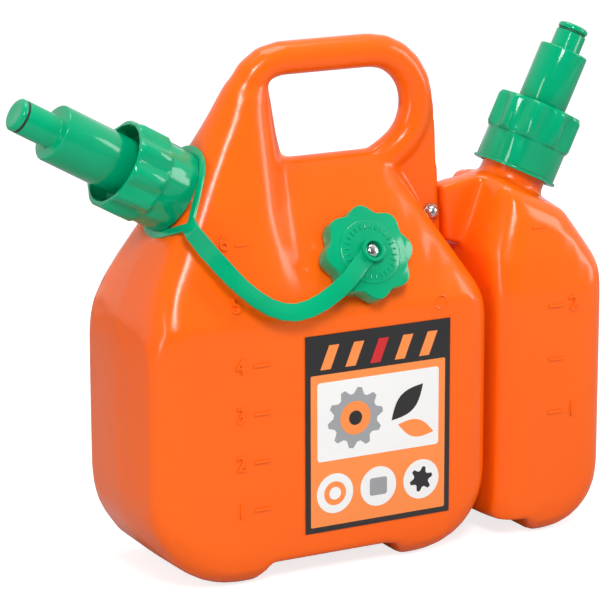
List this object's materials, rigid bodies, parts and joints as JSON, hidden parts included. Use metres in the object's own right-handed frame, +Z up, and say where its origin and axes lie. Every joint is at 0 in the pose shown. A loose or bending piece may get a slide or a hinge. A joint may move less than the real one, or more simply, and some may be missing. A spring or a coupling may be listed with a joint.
{
  "type": "combination fuel can",
  "caption": "Moulded combination can: a large fuel can with a handle and a narrow oil can bolted beside it, each with a push-to-pour spout, and a tethered cap.",
  "frame": {"origin": "middle of the foot of the whole object's box, on the ground", "axes": "+X from the fuel spout to the oil can, along the pair; +Y through the depth, away from the label; +Z up"},
  "size_m": [0.4448, 0.1358, 0.3618],
  "materials": {
    "can_body": "semi-gloss blow-moulded plastic",
    "spout_plastic": "glossy moulded plastic",
    "cap_plastic": "glossy moulded plastic",
    "tether_plastic": "flexible moulded plastic",
    "label_film": "printed film",
    "fastener": "zinc plated",
    "rivet": "polished",
    "spring_wire": "drawn wire",
    "seal": "soft rubber"
  },
  "bodies": {
    "cans": {"large_can": "can_body", "small_can": "can_body", "label": "label_film", "joining_bolt": "fastener", "joining_nut": "fastener", "front_washer": "fastener", "rear_washer": "fastener", "cap_tether": "tether_plastic", "oil_tether_ring": "tether_plastic", "fuel_spout_base": "spout_plastic", "fuel_valve_stem": "spout_plastic", "fuel_return_spring": "spring_wire", "fuel_neck_gasket": "seal", "fuel_air_tube": "spout_plastic", "oil_spout_base": "spout_plastic", "oil_valve_stem": "spout_plastic", "oil_return_spring": "spring_wire", "oil_neck_gasket": "seal", "oil_air_tube": "spout_plastic"},
    "fuel_nut": {"fuel_spout_nut": "spout_plastic"},
    "oil_nut": {"oil_spout_nut": "spout_plastic"},
    "fuel_tube": {"fuel_sleeve": "spout_plastic", "fuel_tip_seal": "seal"},
    "oil_tube": {"oil_sleeve": "spout_plastic", "oil_tip_seal": "seal"},
    "screw_cap": {"cap": "cap_plastic", "cap_gasket": "seal", "cap_rivet": "rivet"}
  },
  "joints": [
    {"name": "fuel_nut_turn", "type": "hinge", "parent": "cans", "child": "fuel_nut", "pos_m": [-0.10325, 0.00767, 0.26535], "axis": [-0.8721, 0, 0.4894], "continuous": true},
    {"name": "oil_nut_turn", "type": "hinge", "parent": "cans", "child": "oil_nut", "pos_m": [0.16026, 0.00767, 0.2458], "axis": [0.4399, 0, 0.898], "continuous": true},
    {"name": "fuel_sleeve_push", "type": "slide", "parent": "cans", "child": "fuel_tube", "axis": [-0.8721, 0, 0.4894], "range_m": [-0.012, 0], "stiffness_N_per_m": 400, "springref_m": 0.012, "deforming": ["fuel_return_spring"]},
    {"name": "oil_sleeve_push", "type": "slide", "parent": "cans", "child": "oil_tube", "axis": [0.4399, 0, 0.898], "range_m": [-0.012, 0], "stiffness_N_per_m": 400, "springref_m": 0.012, "deforming": ["oil_return_spring"]},
    {"name": "cap_turn", "type": "hinge", "parent": "cans", "child": "screw_cap", "pos_m": [0.01396, -0.03597, 0.2157], "axis": [0, -0.8863, 0.4631], "continuous": true}
  ]
}
